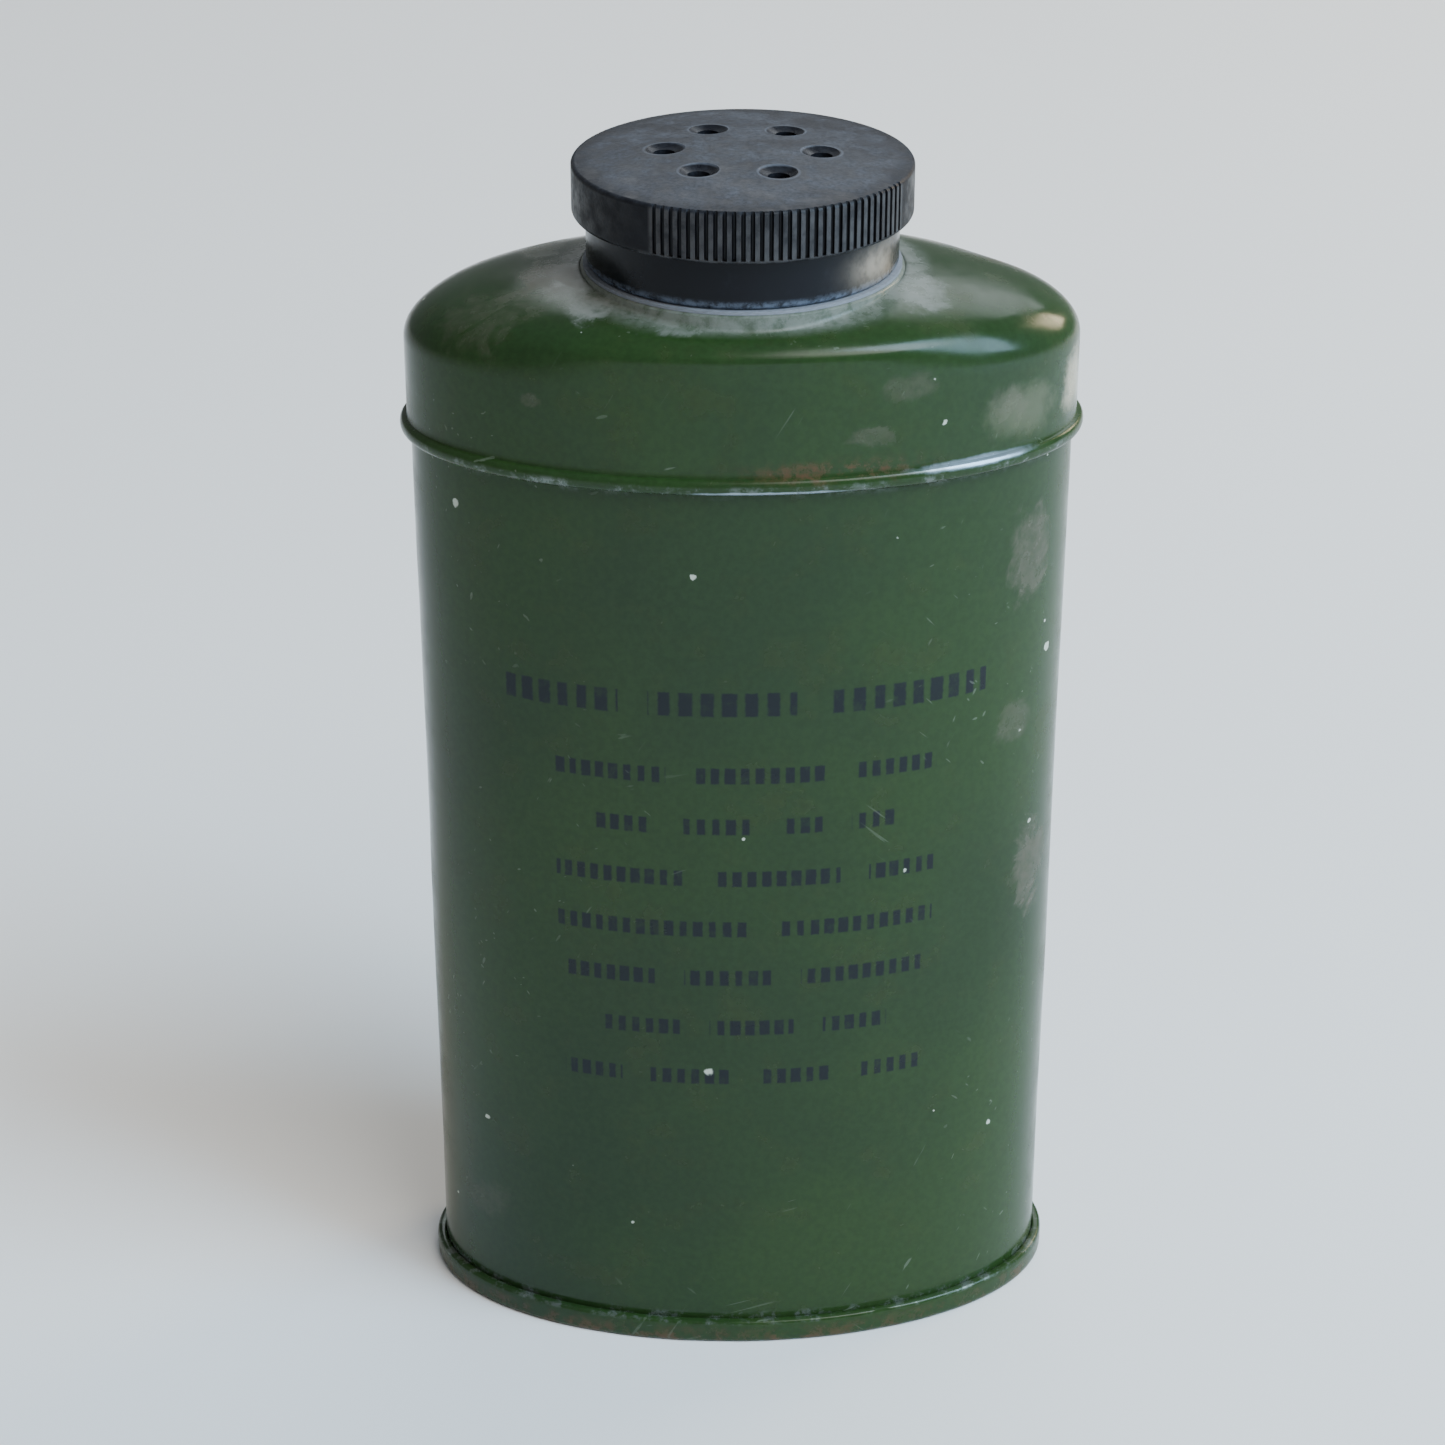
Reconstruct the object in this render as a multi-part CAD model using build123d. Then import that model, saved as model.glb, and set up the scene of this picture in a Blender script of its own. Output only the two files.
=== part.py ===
from build123d import *
import os
from math import asin, cos, radians, sin

# Oval tinplate powder tin with a slip-on shoulder cover and a rotating moulded sifter.
# Millimetres, +Z up. X runs along the long axis of the oval and -Y is the front.
# The origin is the centre of the oval on the surface that the base seam rests on.

# ---- tinplate body ----
body_half_width = 30.9     # outer surface of the body wall, along X
body_half_depth = 17.0     # outer surface of the body wall, along Y
plate = 0.28               # tinplate thickness
fold_gap = 0.03            # air left between two folded layers
seam_height = 2.5          # double seam round the base
panel_height = 3.0         # underside of the base panel above the resting plane
hook_height = 1.75         # top of the body wall's hook inside the double seam
hook_end = 0.8             # lower end of the base's hook inside the double seam
seam_round = 0.3           # rounding of the double seam's outer edges
lock_seam_width = 4.0      # width of the folded side seam at the back
lock_groove = 0.3          # width of the line that the side seam leaves outside
lock_groove_depth = 0.1
panel_rib_inset = 5.0      # oval stiffening rib of the base panel, in from the body wall
panel_rib_width = 1.6
panel_rib_rise = 0.45

# ---- slip-on shoulder cover ----
cover_clearance = 0.06     # between the body wall and the cover's skirt
cover_bottom = 93.0        # lower edge of the curled rim, so the height of body that shows
skirt_height = 9.0         # from the curl's lower edge to where the two ends start to turn in
curl_height = 1.4          # height of the curled rim
curl_width = 0.85          # width of the curled rim across the wall
curl_inset = 0.1           # the curl's inner side lies this far inside the skirt's plate
side_turn_rise = 3.2       # the front and back start to turn in this much above the ends
crown_rise = 6.9           # height that the shoulder's curve would gain at the centre
crown_cut = 0.2            # the shoulder's surface stops this far under that, inside the neck
end_squareness = 3.6       # power of the shoulder's curve towards the ends
side_squareness = 2.7      # power of the shoulder's curve towards front and back
shoulder_steps = 12        # sections that the shoulder is lofted through
rim_rise = 0.2             # body's rim above the level where the shoulder's inside turns in

# ---- neck and collar ----
neck_inset = 2.1           # the raised neck lies this far inside the body's front
neck_drop = 0.1            # flat top of the neck below the crown's height
neck_round = 0.35
washer_thickness = 0.3     # card washer between the neck and the collar
washer_margin = 0.3        # washer beyond the collar
neck_margin = 0.6          # neck beyond the collar
collar_shown_height = 4.65 # from the washer to the rotor
collar_foot_round = 0.5
spigot_step = 1.9          # the spigot is this much smaller in radius than the collar
spigot_clearance = 0.1     # between the spigot and the hole in the neck
spigot_depth = 5.2         # from the collar's foot down to the end of the spigot
spigot_wall = 1.1
sieve_thickness = 1.6      # perforated plate at the top of the collar
clip_margin = 0.1          # push-on clip inside the collar's radius
clip_lip = 1.0
clip_teeth = 12
clip_slot_width = 1.0
clip_slot_depth = 1.1
push_clearance = 0.04      # between parts pushed together

# ---- rotor ----
rotor_wall = 1.17
rotor_height = 4.7
rotor_top_thickness = 1.5
rotor_edge_round = 0.4
rotor_crown = 1.0          # rise of the slightly domed top at its middle
running_clearance = 0.08   # radial, between the rotor and the collar
face_gap = 0.3             # between the rotor's underside and the perforated plate
hole_count = 6
hole_inset = 7.2           # circle of the holes inside the collar's radius
hole_radius = 1.6          # powder holes of the perforated plate
outlet_radius = 1.0        # powder holes of the rotor, each at the bottom of a dish
dish_radius = 1.8
dish_depth = 0.6
hole_phase = -5.2          # angle of the first rotor hole from +X when closed
closing_turn = 30.0        # turn from closed to open
cup_depth = 0.45           # shallow cups that close the rotor's holes
knurl_pitch = 3.0          # degrees
knurl_ribs = 32            # grooves in each knurled sector
knurl_centre = -75.0       # middle of the front knurled sector, from +X
knurl_radius = 0.2         # half width of one groove
knurl_depth = 0.34
knurl_foot = 0.3           # plain band left under the grooves

# ---- pivot under the rotor ----
pivot_radius = 3.2         # stub on the rotor that turns in the perforated plate
pivot_reach = 0.4          # how far the stub stands out below the perforated plate
spring_width = 1.9         # from the spring washer's hole to its edge
spring_thickness = 0.16
spring_clearance = 0.03
pivot_washer_margin = 1.8  # plain washer beyond the stub
pivot_washer_thickness = 0.4
screw_radius = 1.2
screw_head_radius = 2.6
screw_head_height = 1.5
screw_head_bevel = 0.3
screw_slot_width = 0.7
screw_slot_depth = 0.7
screw_engagement = 2.9     # depth of the screw's hole in the rotor's stub
screw_end_gap = 0.2        # left free at the end of that hole

# ---- stop between the collar and the rotor ----
stop_inset = 2.7           # circle of the stop peg inside the collar's radius
stop_angle = 80.0
stop_radius = 0.7
stop_rise = 0.9
stop_clearance = 0.08

# ---- sizes that follow from those above ----
overlap = 0.2              # depth that a boss is sunk into what it is moulded on
skirt_inner = cover_clearance
skirt_outer = cover_clearance + plate
seam_outer = 3 * plate + 3 * fold_gap
end_turn_start = cover_bottom + skirt_height
body_top = end_turn_start - plate + rim_rise
crown_height = end_turn_start + crown_rise
neck_height = crown_height - neck_drop
neck_radius = body_half_depth - neck_inset
collar_radius = neck_radius - neck_margin
washer_top = neck_height + washer_thickness
washer_radius = collar_radius + washer_margin
spigot_radius = collar_radius - spigot_step
spigot_bottom = washer_top - spigot_depth
neck_hole_radius = spigot_radius + spigot_clearance
throat_radius = spigot_radius - spigot_wall
clip_radius = collar_radius - clip_margin
rotor_bore = collar_radius + running_clearance
rotor_radius = rotor_bore + rotor_wall
rotor_bottom = washer_top + collar_shown_height
rotor_top = rotor_bottom + rotor_height
rotor_roof = rotor_top - rotor_top_thickness
crown_ball = (rotor_radius ** 2 + rotor_crown ** 2) / (2 * rotor_crown)
crown_centre = rotor_top + rotor_crown - crown_ball
sieve_top = rotor_roof - face_gap
sieve_bottom = sieve_top - sieve_thickness
pivot_hole_radius = pivot_radius + running_clearance
pivot_end = sieve_bottom - pivot_reach
screw_seat = pivot_end - pivot_washer_thickness
hole_circle_radius = collar_radius - hole_inset
stop_circle_radius = collar_radius - stop_inset
hole_angles = [hole_phase + 360 / hole_count * k for k in range(hole_count)]


def oval(offset):
    """Oval face that lies the given distance outside the body wall's outer surface."""
    return Ellipse(body_half_width + offset, body_half_depth + offset)


def oval_ring(inner, outer, bottom, top):
    """Upright oval ring between two offsets from the body wall's outer surface."""
    return Pos(0, 0, bottom) * extrude(oval(outer) - oval(inner), top - bottom)


def disc(radius, bottom, top):
    """Upright cylinder on the sifter's axis."""
    return Pos(0, 0, bottom) * extrude(Circle(radius), top - bottom)


def round_ring(inner, outer, bottom, top):
    """Upright round ring on the sifter's axis."""
    return disc(outer, bottom, top) - disc(inner, bottom, top)


def spots(radius, angles, height):
    """Places on a circle round the sifter's axis."""
    return [
        Pos(radius * cos(radians(a)), radius * sin(radians(a)), height) for a in angles
    ]


def edges_at(shape, height):
    """Edges that lie wholly at one height."""
    return [
        e for e in shape.edges()
        if abs(e.center().Z - height) < 0.001 and e.bounding_box().size.Z < 0.001
    ]


def outermost(edges):
    """The edge of a set that reaches furthest along X."""
    return max(edges, key=lambda e: e.bounding_box().max.X)


def make_body_wall():
    """Rolled wall with its hook in the base seam and a folded side seam at the back."""
    hook_inner = plate + 2 * fold_gap
    hook_outer = hook_inner + plate
    flange_bottom = plate + fold_gap
    wall = oval_ring(-plate, 0, flange_bottom, body_top)
    wall += oval_ring(-plate, hook_outer, flange_bottom, flange_bottom + plate)
    wall += oval_ring(hook_inner, hook_outer, flange_bottom, hook_height)
    fold_bottom = panel_height + 2 * plate
    fold = oval_ring(-3 * plate, -plate, fold_bottom, body_top)
    fold &= Pos(0, body_half_depth, body_top / 2) * Box(
        lock_seam_width, 4, 2 * body_top
    )
    wall += fold
    groove = oval_ring(-lock_groove_depth, 1, seam_height, body_top)
    groove &= Pos(lock_seam_width / 2, body_half_depth, body_top / 2) * Box(
        lock_groove, 4, 2 * body_top
    )
    return wall - groove


def make_base_end():
    """Pressed base: recessed panel, chuck wall and the outer layers of the double seam."""
    chuck_outer = -plate - fold_gap
    chuck_inner = chuck_outer - plate
    base = oval_ring(chuck_inner, chuck_outer, 0, panel_height + plate)
    base += oval_ring(chuck_inner, seam_outer, 0, plate)
    base += oval_ring(seam_outer - plate, seam_outer, 0, seam_height)
    base += oval_ring(fold_gap, seam_outer, seam_height - plate, seam_height)
    base += oval_ring(fold_gap, fold_gap + plate, hook_end, seam_height)
    base += Pos(0, 0, panel_height) * extrude(oval(chuck_outer), plate)
    rib_outer = -panel_rib_inset
    rib_inner = rib_outer - panel_rib_width
    rib_top = panel_height + plate + panel_rib_rise
    base += oval_ring(rib_inner, rib_outer, panel_height, rib_top)
    base -= oval_ring(
        rib_inner + plate, rib_outer - plate, panel_height - 1, rib_top - plate
    )
    rim = [outermost(edges_at(base, 0)), outermost(edges_at(base, seam_height))]
    return fillet(rim, seam_round)


def shoulder_plug(offset, drop):
    """Solid under the shoulder's surface, moved out by an offset and down by a drop."""
    half_width = body_half_width + offset
    half_depth = body_half_depth + offset
    side_rise_total = crown_rise - side_turn_rise
    steepest = asin((crown_rise - crown_cut) / crown_rise)
    sections = []
    for k in range(shoulder_steps):
        rise = crown_rise * sin(steepest * k / (shoulder_steps - 1))
        end_share = rise / crown_rise
        side_share = max(0, rise - side_turn_rise) / side_rise_total
        width = half_width * (1 - end_share ** 2) ** (1 / end_squareness)
        depth = half_depth * (1 - side_share ** 2) ** (1 / side_squareness)
        sections.append(Pos(0, 0, end_turn_start + rise - drop) * Ellipse(width, depth))
    return loft(sections)


def make_shoulder_cover():
    """Pressed cover: skirt with an outward curl, domed shoulder and raised round neck."""
    curl_middle = cover_bottom + curl_height / 2
    hollow_bottom = cover_bottom - 1
    hollow_skirt_top = end_turn_start - plate
    neck = disc(neck_radius, end_turn_start, neck_height)
    cover = Pos(0, 0, curl_middle) * extrude(
        oval(skirt_outer), end_turn_start - curl_middle
    )
    cover += shoulder_plug(skirt_outer, 0)
    cover += fillet(outermost(edges_at(neck, neck_height)), neck_round)
    hollow = Pos(0, 0, hollow_bottom) * extrude(
        oval(skirt_inner), hollow_skirt_top - hollow_bottom
    )
    hollow += shoulder_plug(skirt_inner, plate)
    hollow += disc(neck_radius - plate, hollow_skirt_top, neck_height - plate)
    hollow += disc(neck_hole_radius, hollow_skirt_top, neck_height + 1)
    cover -= hollow
    centre = skirt_inner + curl_inset + curl_width / 2
    path = Edge.make_ellipse(body_half_width + centre, body_half_depth + centre)
    start = Plane(
        origin=(body_half_width + centre, 0, 0), x_dir=(1, 0, 0), z_dir=(0, -1, 0)
    )
    section = Ellipse(curl_width / 2, curl_height / 2)
    section -= Ellipse(curl_width / 2 - plate, curl_height / 2 - plate)
    cover += Pos(0, 0, curl_middle) * sweep(start * section, path=path)
    return cover


def make_neck_washer():
    """Card washer between the neck and the collar."""
    return round_ring(neck_hole_radius, washer_radius, neck_height, washer_top)


def make_collar():
    """Moulded collar: outer wall, spigot, perforated plate, closing cups and stop peg."""
    collar = disc(collar_radius, washer_top, sieve_top)
    collar = fillet(outermost(edges_at(collar, washer_top)), collar_foot_round)
    collar += disc(spigot_radius, spigot_bottom, washer_top + 1)
    collar -= disc(throat_radius, spigot_bottom - 1, sieve_bottom)
    collar -= disc(pivot_hole_radius, sieve_bottom - 1, sieve_top + 1)
    open_angles = [a + closing_turn for a in hole_angles]
    collar -= [
        spot * extrude(Circle(hole_radius), 2 * sieve_thickness + 2)
        for spot in spots(hole_circle_radius, open_angles, sieve_bottom - 1)
    ]
    ball = (hole_radius ** 2 + cup_depth ** 2) / (2 * cup_depth)
    collar -= [
        spot * Sphere(ball)
        for spot in spots(hole_circle_radius, hole_angles, sieve_top - cup_depth + ball)
    ]
    peg = spots(stop_circle_radius, [stop_angle], sieve_top - overlap)[0]
    return collar + peg * extrude(Circle(stop_radius), stop_rise + overlap)


def make_collar_clip():
    """Push-on sheet metal clip that grips the spigot under the neck."""
    top = neck_height - plate
    inner = spigot_radius + push_clearance
    clip = round_ring(inner, clip_radius, top - plate, top)
    clip += round_ring(clip_radius - plate, clip_radius, top - plate - clip_lip, top)
    slot = Pos(inner, 0, top) * Box(2 * clip_slot_depth, clip_slot_width, 4 * plate)
    clip -= [Rot(0, 0, 360 / clip_teeth * k) * slot for k in range(clip_teeth)]
    return clip


def knurl_grooves():
    """Upright round-bottomed grooves of the two opposite knurled sectors."""
    place = rotor_radius - knurl_depth + knurl_radius
    reach = rotor_height + 1
    groove = Pos(place, 0, 0) * extrude(Circle(knurl_radius), reach)
    groove += Pos(place + knurl_radius, 0, reach / 2) * Box(
        2 * knurl_radius, 2 * knurl_radius, reach
    )
    groove = Pos(0, 0, rotor_bottom + knurl_foot) * groove
    first = knurl_centre - knurl_pitch * (knurl_ribs - 1) / 2
    return [
        Rot(0, 0, first + knurl_pitch * k + side) * groove
        for side in (0, 180)
        for k in range(knurl_ribs)
    ]


def make_rotor():
    """Moulded rotor: domed knurled cap, six dished holes, pivot stub and arc for the stop."""
    rotor = disc(rotor_radius, rotor_bottom, rotor_top + rotor_crown)
    rotor &= Pos(0, 0, crown_centre) * Sphere(crown_ball)
    rim = [
        outermost(edges_at(rotor, rotor_bottom)),
        outermost(edges_at(rotor, rotor_top)),
    ]
    rotor = fillet(rim, rotor_edge_round)
    rotor -= disc(rotor_bore, rotor_bottom - 1, rotor_roof)
    rotor += disc(pivot_radius, pivot_end, rotor_roof + overlap)
    rotor -= disc(screw_radius, pivot_end - 1, pivot_end + screw_engagement)
    rotor -= [
        spot * extrude(Circle(outlet_radius), rotor_top_thickness + rotor_crown + 1)
        for spot in spots(hole_circle_radius, hole_angles, rotor_roof - 1)
    ]
    rim_height = crown_centre + (crown_ball ** 2 - hole_circle_radius ** 2) ** 0.5
    ball = (dish_radius ** 2 + dish_depth ** 2) / (2 * dish_depth)
    rotor -= [
        spot * Sphere(ball)
        for spot in spots(hole_circle_radius, hole_angles, rim_height - dish_depth + ball)
    ]
    rotor -= stop_arc()
    return rotor - knurl_grooves()


def stop_arc():
    """Arc-shaped pocket under the rotor that lets the stop peg travel from end to end."""
    half = stop_radius + stop_clearance
    depth = stop_rise - face_gap + 2 * stop_clearance
    ends = [stop_angle - closing_turn, stop_angle]
    pocket = round_ring(
        stop_circle_radius - half, stop_circle_radius + half,
        rotor_roof - overlap, rotor_roof + depth,
    )
    reach = 2 * rotor_radius
    corners = [(reach * cos(radians(a)), reach * sin(radians(a))) for a in ends]
    wedge = make_face(Polyline((0, 0), *corners, close=True))
    pocket &= Pos(0, 0, rotor_roof - 1) * extrude(wedge, depth + 2)
    for spot in spots(stop_circle_radius, ends, rotor_roof - overlap):
        pocket += spot * extrude(Circle(half), depth + overlap)
    return pocket


def make_spring_washer():
    """Shallow conical spring washer between the perforated plate and the plain washer."""
    inner = pivot_hole_radius
    outer = inner + spring_width
    low = pivot_end + spring_clearance
    high = sieve_bottom - spring_clearance - spring_thickness
    profile = make_face(
        Polyline(
            (inner, low), (outer, high), (outer, high + spring_thickness),
            (inner, low + spring_thickness), close=True,
        )
    )
    return revolve(Plane.XZ * profile, Axis.Z)


def make_pivot_washer():
    """Plain washer clamped against the end of the rotor's stub."""
    hole = screw_radius + push_clearance
    return round_ring(hole, pivot_radius + pivot_washer_margin, screw_seat, pivot_end)


def make_pivot_screw():
    """Cheese-head screw that holds the washers to the rotor's stub."""
    head_bottom = screw_seat - screw_head_height
    tip = pivot_end + screw_engagement - screw_end_gap
    screw = disc(screw_head_radius, head_bottom, screw_seat)
    screw = chamfer(outermost(edges_at(screw, head_bottom)), screw_head_bevel)
    screw += disc(screw_radius, screw_seat - overlap, tip)
    slot = Box(3 * screw_head_radius, screw_slot_width, 2 * screw_slot_depth)
    return screw - Pos(0, 0, head_bottom) * slot


nodes = {
    "body_wall": make_body_wall(),
    "base_end": make_base_end(),
    "shoulder_cover": make_shoulder_cover(),
    "neck_washer": make_neck_washer(),
    "sifter_collar": make_collar(),
    "collar_clip": make_collar_clip(),
    "sifter_rotor": make_rotor(),
    "spring_washer": make_spring_washer(),
    "pivot_washer": make_pivot_washer(),
    "pivot_screw": make_pivot_screw(),
}

os.makedirs("parts", exist_ok=True)
for name, shape in nodes.items():
    export_step(shape, f"parts/{name}.step")
    print(name, "solids", len(shape.solids()), "volume", round(shape.volume, 2))
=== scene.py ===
import math
import random

import bmesh
import bpy
from mathutils import Matrix, Vector, noise


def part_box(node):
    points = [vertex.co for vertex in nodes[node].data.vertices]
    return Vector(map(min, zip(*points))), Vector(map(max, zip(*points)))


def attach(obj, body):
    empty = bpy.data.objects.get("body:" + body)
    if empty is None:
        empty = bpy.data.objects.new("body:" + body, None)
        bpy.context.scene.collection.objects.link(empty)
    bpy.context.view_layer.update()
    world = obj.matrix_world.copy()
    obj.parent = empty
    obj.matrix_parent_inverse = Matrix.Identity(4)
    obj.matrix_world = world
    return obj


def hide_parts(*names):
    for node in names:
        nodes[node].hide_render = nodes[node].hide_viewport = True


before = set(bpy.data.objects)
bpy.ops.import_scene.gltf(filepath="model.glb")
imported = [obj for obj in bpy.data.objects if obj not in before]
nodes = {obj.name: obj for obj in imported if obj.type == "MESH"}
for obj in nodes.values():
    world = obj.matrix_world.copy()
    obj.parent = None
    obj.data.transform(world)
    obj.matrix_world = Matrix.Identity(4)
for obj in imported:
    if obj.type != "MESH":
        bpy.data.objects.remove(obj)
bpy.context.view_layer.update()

# An oval tinplate powder tin with a slip-on shoulder cover and a rotating black sifter.
# Lengths in this file are millimetres in the part's own frame, and MM turns them to metres.

MM = 0.001


# ---------------------------------------------------------------- sizes read from the frame

def band(node, low, high):
    """Half width and half depth of a node between two heights."""
    points = [v.co / MM for v in nodes[node].data.vertices]
    points = [p for p in points if low <= p.z <= high]
    return max(p.x for p in points), max(p.y for p in points)


def seam_band_top():
    """Top of the base seam where it stands out from the body wall."""
    points = [v.co / MM for v in nodes["base_end"].data.vertices]
    return max(p.z for p in points if p.x > half_width + 0.3)


PLATE = 0.28               # tinplate thickness
body_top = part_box("body_wall")[1].z / MM
half_width, half_depth = band("body_wall", 10, body_top)
seam_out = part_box("base_end")[1].x / MM - half_width
seam_top = seam_band_top()
cover_bottom, cover_top = (corner.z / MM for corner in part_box("shoulder_cover"))
curl_reach = band("shoulder_cover", cover_bottom, cover_bottom + 1.4)[0]
neck_radius = band("shoulder_cover", cover_top - 0.3, cover_top)[1]
washer_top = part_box("neck_washer")[1].z / MM
rotor_bottom, rotor_top = (corner.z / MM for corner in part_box("sifter_rotor"))
rotor_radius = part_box("sifter_rotor")[1].x / MM


# ---------------------------------------------------------------- mesh helpers

COLUMNS = 288              # points round the oval of each tinplate piece


def ramp(value, low, high):
    """0 at the low limit, 1 at the high one, straight between them."""
    return min(1, max(0, (value - low) / (high - low)))


def swell(value, centre, spread):
    """Bell curve round a centre."""
    return math.exp(-((value - centre) / spread) ** 2)


def ellipse_angles(extra=()):
    """Ellipse parameters spaced by equal length along the body's oval, with extra ones added."""
    steps = 4096
    lengths = [0.0]
    for k in range(steps):
        t = 2 * math.pi * (k + 0.5) / steps
        stride = math.hypot(half_width * math.sin(t), half_depth * math.cos(t))
        lengths.append(lengths[-1] + stride)
    angles = []
    k = 0
    for i in range(COLUMNS):
        want = lengths[-1] * i / COLUMNS
        while lengths[k + 1] < want:
            k += 1
        share = (want - lengths[k]) / (lengths[k + 1] - lengths[k])
        angles.append(2 * math.pi * (k + share) / steps)
    close = math.pi / COLUMNS / 2
    kept = [t for t in angles if all(abs(t - e) > close for e in extra)]
    return sorted(kept + list(extra))


def wall_point(t, offset):
    """Point of the body's oval at parameter t, moved out along its normal."""
    c, s = math.cos(t), math.sin(t)
    normal = Vector((half_depth * c, half_width * s)).normalized()
    return Vector((half_width * c, half_depth * s)) + offset * normal


def wall_ring(columns, offset, z):
    """Level ring at one offset from the body's oval."""
    return [(*wall_point(t, offset), z) for t in columns]


def round_ring(radius, z, like):
    """Level circle whose points lie in the same directions as another ring's."""
    ways = [Vector(p[:2]).normalized() for p in like]
    return [(way.x * radius, way.y * radius, z) for way in ways]


def finished(name, verts, faces, inner, body):
    """Object from vertices and faces, riding a body; the inner faces take material slot 1."""
    mesh = bpy.data.meshes.new(name)
    mesh.from_pydata([Vector(v) * MM for v in verts], [], faces)
    mesh.polygons.foreach_set("material_index", [int(i in inner) for i in range(len(faces))])
    work = bmesh.new()
    work.from_mesh(mesh)
    bmesh.ops.recalc_face_normals(work, faces=work.faces)
    work.to_mesh(mesh)
    work.free()
    mesh.shade_smooth()
    mesh.set_sharp_from_angle(angle=math.radians(35))
    piece = bpy.data.objects.new(name, mesh)
    bpy.context.scene.collection.objects.link(piece)
    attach(piece, body)
    return piece


def loft(name, rings, body, inner_rings, capped=False):
    """Skin through rings of equal count, joined end to end or closed by a cap at each end."""
    count = len(rings[0])
    verts = [p for ring in rings for p in ring]
    faces = []
    for k in range(len(rings) - 1 if capped else len(rings)):
        a, b = k * count, (k + 1) % len(rings) * count
        for i in range(count):
            j = (i + 1) % count
            faces.append((a + i, a + j, b + j, b + i))
    inner = {k * count + i for k in inner_rings for i in range(count)}
    if capped:
        inner.add(len(faces))
        faces.append(tuple(range(count)))
        faces.append(tuple(range(len(verts) - count, len(verts))))
    return finished(name, verts, faces, inner, body)


# ---------------------------------------------------------------- tin body

# Dents: X, its spread, Z, its spread, depth.
FRONT_DENTS = ((22, 4, 46, 9, 0.16), (-17, 5, 20, 6, 0.10))
BACK_DENTS = ((-8, 5, 63, 8, 0.20),)
SEAM_GROOVE_X = 2.0        # the folded side seam leaves a line here at the back
SEAM_GROOVE_DEPTH = 0.09
SEAM_GROOVE_WIDTH = 0.14
BODY_FOOT = 0.99           # lowest ring of the wall, inside the base seam


def body_dent(t, z):
    """How far the thin wall of the body gives inward at one place."""
    x, y = wall_point(t, 0)
    free = ramp(z, 4, 14) * ramp(z, 88, 80)
    give = 0.05
    give += 0.09 * noise.noise(Vector((x / 17, y / 17, z / 24)))
    give += 0.025 * noise.noise(Vector((x / 6, y / 6 + 9, z / 8)))
    for x_dent, x_spread, z_dent, z_spread, depth in FRONT_DENTS if y < 0 else BACK_DENTS:
        give += depth * swell(x, x_dent, x_spread) * swell(z, z_dent, z_spread)
    return free * give


def make_body():
    """Rolled wall of the tin, slightly dented, with the line of its side seam at the back."""
    middle = math.acos(SEAM_GROOVE_X / half_width)
    across = (-0.45, -0.25, -0.12, 0, 0.12, 0.25, 0.45)
    columns = ellipse_angles([middle + d / half_width for d in across])
    heights = [BODY_FOOT + 0.6 * k for k in range(4)]
    while heights[-1] + 1.5 < body_top - 0.3:
        heights.append(heights[-1] + 1.5)
    outer = [(0, z) for z in heights] + [(0, body_top - 0.1), (-0.04, body_top - 0.03)]
    rim = [(-0.1, body_top), (PLATE * -0.65, body_top), (0.04 - PLATE, body_top - 0.03)]
    inner = [(-PLATE, body_top - 0.1)] + [(-PLATE, z) for z in reversed(heights)]
    rings = []
    for offset, z in outer + rim + inner:
        ring = []
        for t in columns:
            x, y = wall_point(t, 0)
            groove = 0.0
            if y > 0 and z > 3 and offset > -0.2:
                groove = SEAM_GROOVE_DEPTH * swell(x, SEAM_GROOVE_X, SEAM_GROOVE_WIDTH)
            ring.append((*wall_point(t, offset - body_dent(t, z) - groove), z))
        rings.append(ring)
    piece = loft("tin_body", rings, "tin", range(len(outer) + 2, len(rings)))
    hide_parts("body_wall")
    return piece


# ---------------------------------------------------------------- base

PANEL_HEIGHT = 3.0         # underside of the recessed base panel
CHUCK = -2 * PLATE - 0.03  # inner side of the wall that drops to the base panel
RIB_AT = 0.80              # oval stiffening rib, as a share of the panel's reach
RIB_RISE = 0.45


def panel_rings(columns, height):
    """Rings of the base panel, with its oval stiffening rib, from the rim to the middle."""
    shares = [0.985, 0.93, 0.87, 0.85, 0.84, 0.83, 0.82, 0.80, 0.78, 0.77, 0.76, 0.75, 0.73]
    shares += [0.6, 0.45, 0.3, 0.15, 0.05]
    rings = []
    for share in shares:
        z = height + RIB_RISE * ramp(abs(share - RIB_AT), 0.05, 0.025)
        wide, deep = (half_width + CHUCK) * share, (half_depth + CHUCK) * share
        rings.append([(wide * math.cos(t), deep * math.sin(t), z) for t in columns])
    return rings


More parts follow.
